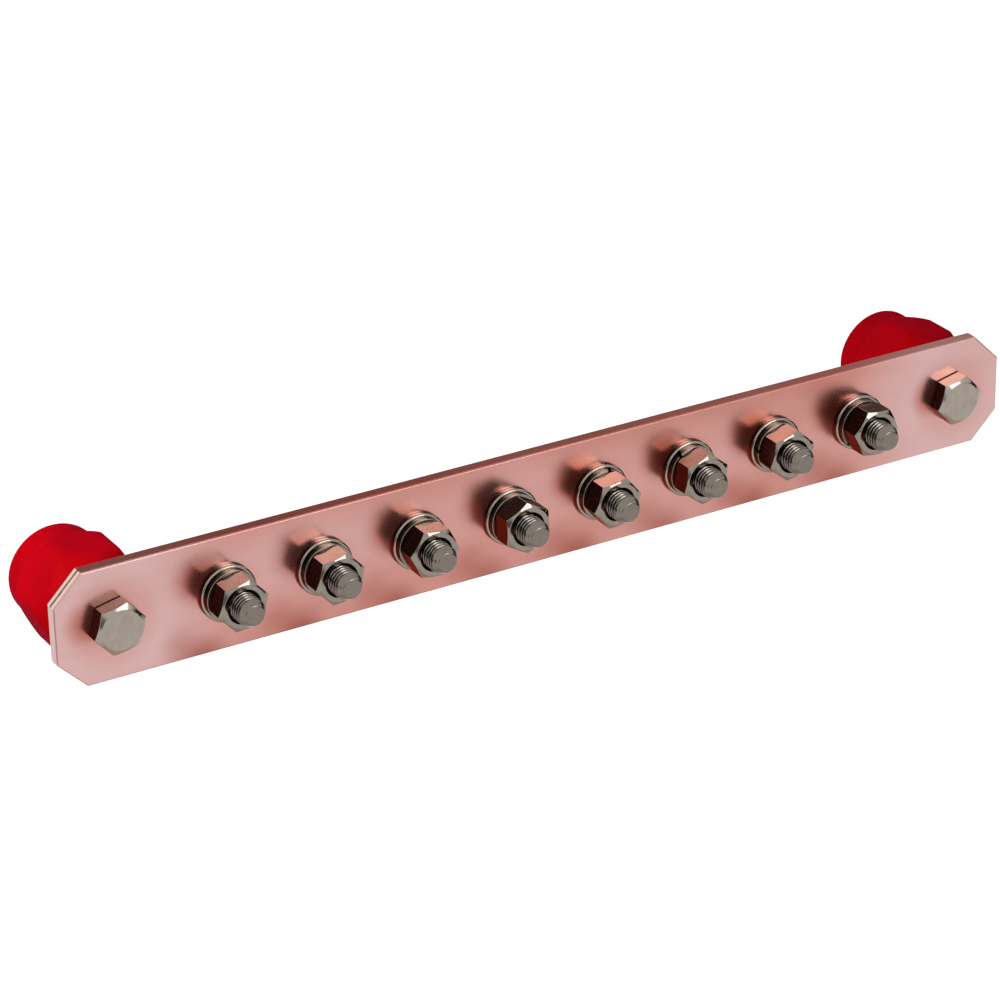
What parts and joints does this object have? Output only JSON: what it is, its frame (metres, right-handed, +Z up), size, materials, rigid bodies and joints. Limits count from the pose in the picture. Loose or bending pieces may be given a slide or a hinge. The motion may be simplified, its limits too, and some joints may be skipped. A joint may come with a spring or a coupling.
{
  "type": "rack grounding busbar",
  "caption": "Flat copper bar with cut corners on moulded red standoff insulators, with a row of bolted stud terminals for bonding rack equipment to ground.",
  "frame": {"origin": "midway between the two fixing threads, on the wall plane that the insulators stand on", "axes": "+X along the bar, to the right as seen from the front; +Z up; +Y into the wall, so the bar and its terminals face -Y"},
  "size_m": [0.365, 0.065, 0.04],
  "materials": {
    "copper": "drawn copper, satin with a fine grain along the bar",
    "stainless": "bright machined stainless steel",
    "insulator_red": "moulded polyester, semi-gloss red",
    "insert_brass": "turned brass"
  },
  "bodies": {
    "root": {"busbar": "copper", "insulator_left": "insulator_red", "back_insert_left": "insert_brass", "front_insert_left": "insert_brass", "insulator_bolt_left": "stainless", "insulator_right": "insulator_red", "back_insert_right": "insert_brass", "front_insert_right": "insert_brass", "insulator_bolt_right": "stainless", "terminal_bolt_1": "stainless", "flat_washer_1": "stainless", "spring_washer_1": "stainless", "terminal_nut_1": "stainless", "terminal_bolt_2": "stainless", "flat_washer_2": "stainless", "spring_washer_2": "stainless", "terminal_nut_2": "stainless", "terminal_bolt_3": "stainless", "flat_washer_3": "stainless", "spring_washer_3": "stainless", "terminal_nut_3": "stainless", "terminal_bolt_4": "stainless", "flat_washer_4": "stainless", "spring_washer_4": "stainless", "terminal_nut_4": "stainless", "terminal_bolt_5": "stainless", "flat_washer_5": "stainless", "spring_washer_5": "stainless", "terminal_nut_5": "stainless", "terminal_bolt_6": "stainless", "flat_washer_6": "stainless", "spring_washer_6": "stainless", "terminal_nut_6": "stainless", "terminal_bolt_7": "stainless", "flat_washer_7": "stainless", "spring_washer_7": "stainless", "terminal_nut_7": "stainless", "terminal_bolt_8": "stainless", "flat_washer_8": "stainless", "spring_washer_8": "stainless", "terminal_nut_8": "stainless"}
  },
  "joints": []
}
